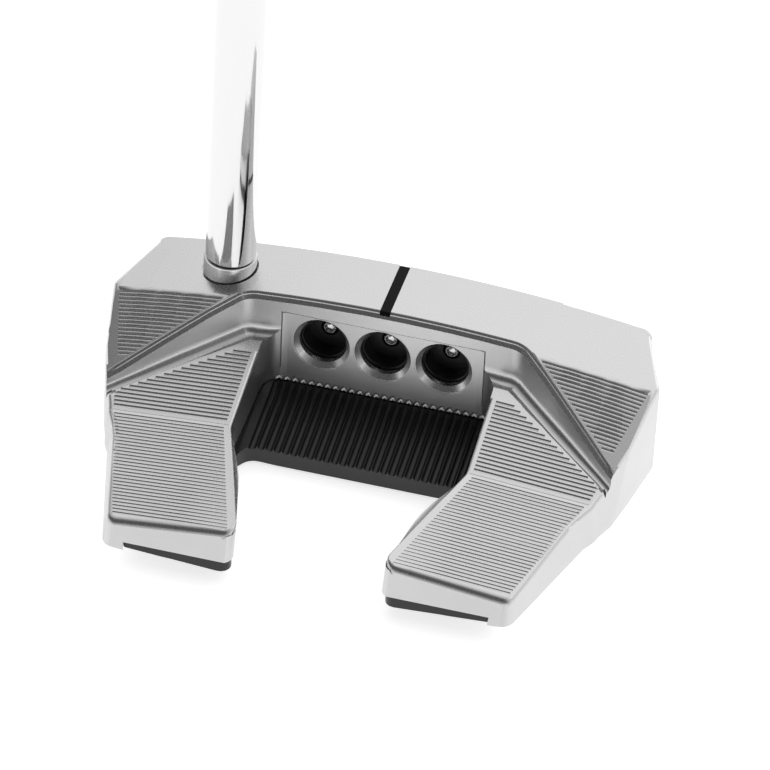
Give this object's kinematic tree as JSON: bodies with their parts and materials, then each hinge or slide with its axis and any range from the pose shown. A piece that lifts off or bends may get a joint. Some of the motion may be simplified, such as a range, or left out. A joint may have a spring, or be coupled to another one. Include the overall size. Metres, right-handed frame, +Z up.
{
  "type": "mallet putter",
  "caption": "Golf putter with a milled steel winged mallet head, dark fluted sole flange, screw-in sole weights, bent steel shaft and rubber pistol grip.",
  "frame": {"origin": "centre of the flat land of the sole, midway between heel and toe", "axes": "+Z up at address, +Y towards the target (the face looks along +Y), +X towards the toe"},
  "size_m": [0.3355, 0.079, 0.8183],
  "materials": {
    "milled_steel": "bead-blasted and brushed stainless steel with fine milled lines",
    "dark_flange": "black anodised, satin",
    "bright_screws": "bright turned stainless steel",
    "weights": "turned stainless steel",
    "ring_rubber": "matt black",
    "neck_steel": "turned, satin",
    "shaft_chrome": "mirror polished plating",
    "tape": "matt paper tape",
    "grip_rubber": "matt, fine texture",
    "sight_paint": "black enamel"
  },
  "bodies": {
    "club": {"face_body": "milled_steel", "sole_flange": "dark_flange", "flange_screw_heel": "bright_screws", "flange_screw_centre": "bright_screws", "flange_screw_toe": "bright_screws", "tail_screw_heel": "bright_screws", "tail_screw_toe": "bright_screws", "neck_post": "neck_steel", "shaft": "shaft_chrome", "grip_tape": "tape", "grip": "grip_rubber", "sight_line_fill": "sight_paint"},
    "heel_ring": {"heel_weight_ring": "ring_rubber"},
    "heel_weight": {"heel_weight": "weights"},
    "toe_ring": {"toe_weight_ring": "ring_rubber"},
    "toe_weight": {"toe_weight": "weights"}
  },
  "joints": [
    {"name": "heel_weight_travel", "type": "slide", "parent": "club", "child": "heel_ring", "axis": [0, 0, -1], "range_m": [0, 0.005]},
    {"name": "heel_weight_turn", "type": "hinge", "parent": "heel_ring", "child": "heel_weight", "pos_m": [-0.035, 0.001, 0.004], "axis": [0, 0, -1], "range_deg": [0, 1800]},
    {"name": "toe_weight_travel", "type": "slide", "parent": "club", "child": "toe_ring", "axis": [0, 0, -1], "range_m": [0, 0.005]},
    {"name": "toe_weight_turn", "type": "hinge", "parent": "toe_ring", "child": "toe_weight", "pos_m": [0.035, 0.001, 0.004], "axis": [0, 0, -1], "range_deg": [0, 1800]}
  ],
  "couplings": [
    {"joint": "heel_weight_travel", "follows": "heel_weight_turn", "m_per_rad": 0.000159},
    {"joint": "toe_weight_travel", "follows": "toe_weight_turn", "m_per_rad": 0.000159}
  ]
}
